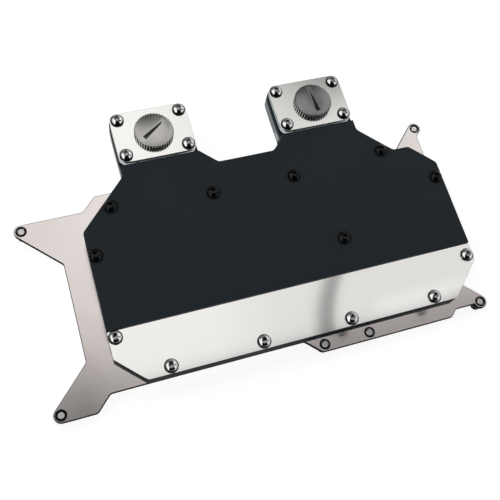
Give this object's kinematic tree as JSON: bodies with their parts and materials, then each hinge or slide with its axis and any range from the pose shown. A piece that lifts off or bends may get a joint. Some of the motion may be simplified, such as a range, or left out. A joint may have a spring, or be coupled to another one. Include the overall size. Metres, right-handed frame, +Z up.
{
  "type": "gpu water block",
  "caption": "Flat graphics-card water block: finned cold plate under a dark housing with steel trim, knurled plugs in raised ports, and a mounting frame on threaded standoffs.",
  "frame": {"origin": "under the middle of the whole block, on the plane of the standoffs' feet, which is the circuit board's surface", "axes": "+X along the block from the two long arms to the other end, +Y from the steel strip to the port towers, +Z up from the circuit board"},
  "size_m": [0.189, 0.1204, 0.0204],
  "materials": {
    "satin_steel": "fine satin brushing",
    "brushed_frame": "straight brushing",
    "nickel_plate": "satin nickel over copper",
    "housing_black": "machined, dark slate",
    "cover_black": "black satin sheet",
    "bright_screw": "polished",
    "black_screw": "black oxide",
    "plug_metal": "turned, matt grey",
    "seal_rubber": "matt"
  },
  "bodies": {
    "root": {"frame_plate": "brushed_frame", "cold_plate": "nickel_plate", "fin_cover": "satin_steel", "housing": "housing_black", "main_seal": "seal_rubber", "black_cover": "cover_black", "steel_strip": "satin_steel", "left_port_block": "nickel_plate", "right_port_block": "nickel_plate", "left_port_plate": "satin_steel", "right_port_plate": "satin_steel", "left_port_seal": "seal_rubber", "right_port_seal": "seal_rubber", "left_plug": "plug_metal", "right_plug": "plug_metal", "left_plug_seal": "seal_rubber", "right_plug_seal": "seal_rubber", "rear_left_standoff": "satin_steel", "front_left_standoff": "satin_steel", "front_inner_standoff": "satin_steel", "front_middle_standoff": "satin_steel", "front_right_standoff": "satin_steel", "rear_right_standoff": "satin_steel", "left_port_screw_1": "bright_screw", "left_port_screw_2": "bright_screw", "left_port_screw_3": "bright_screw", "left_port_screw_4": "bright_screw", "right_port_screw_1": "bright_screw", "right_port_screw_2": "bright_screw", "right_port_screw_3": "bright_screw", "right_port_screw_4": "bright_screw", "strip_screw_1": "bright_screw", "strip_screw_2": "bright_screw", "strip_screw_3": "bright_screw", "strip_screw_4": "bright_screw", "strip_screw_5": "bright_screw", "strip_screw_6": "bright_screw", "cover_screw_1": "black_screw", "cover_screw_2": "black_screw", "cover_screw_3": "black_screw", "cover_screw_4": "black_screw", "inner_cover_screw_1": "black_screw", "inner_cover_screw_2": "black_screw", "inner_cover_screw_3": "black_screw"}
  },
  "joints": []
}
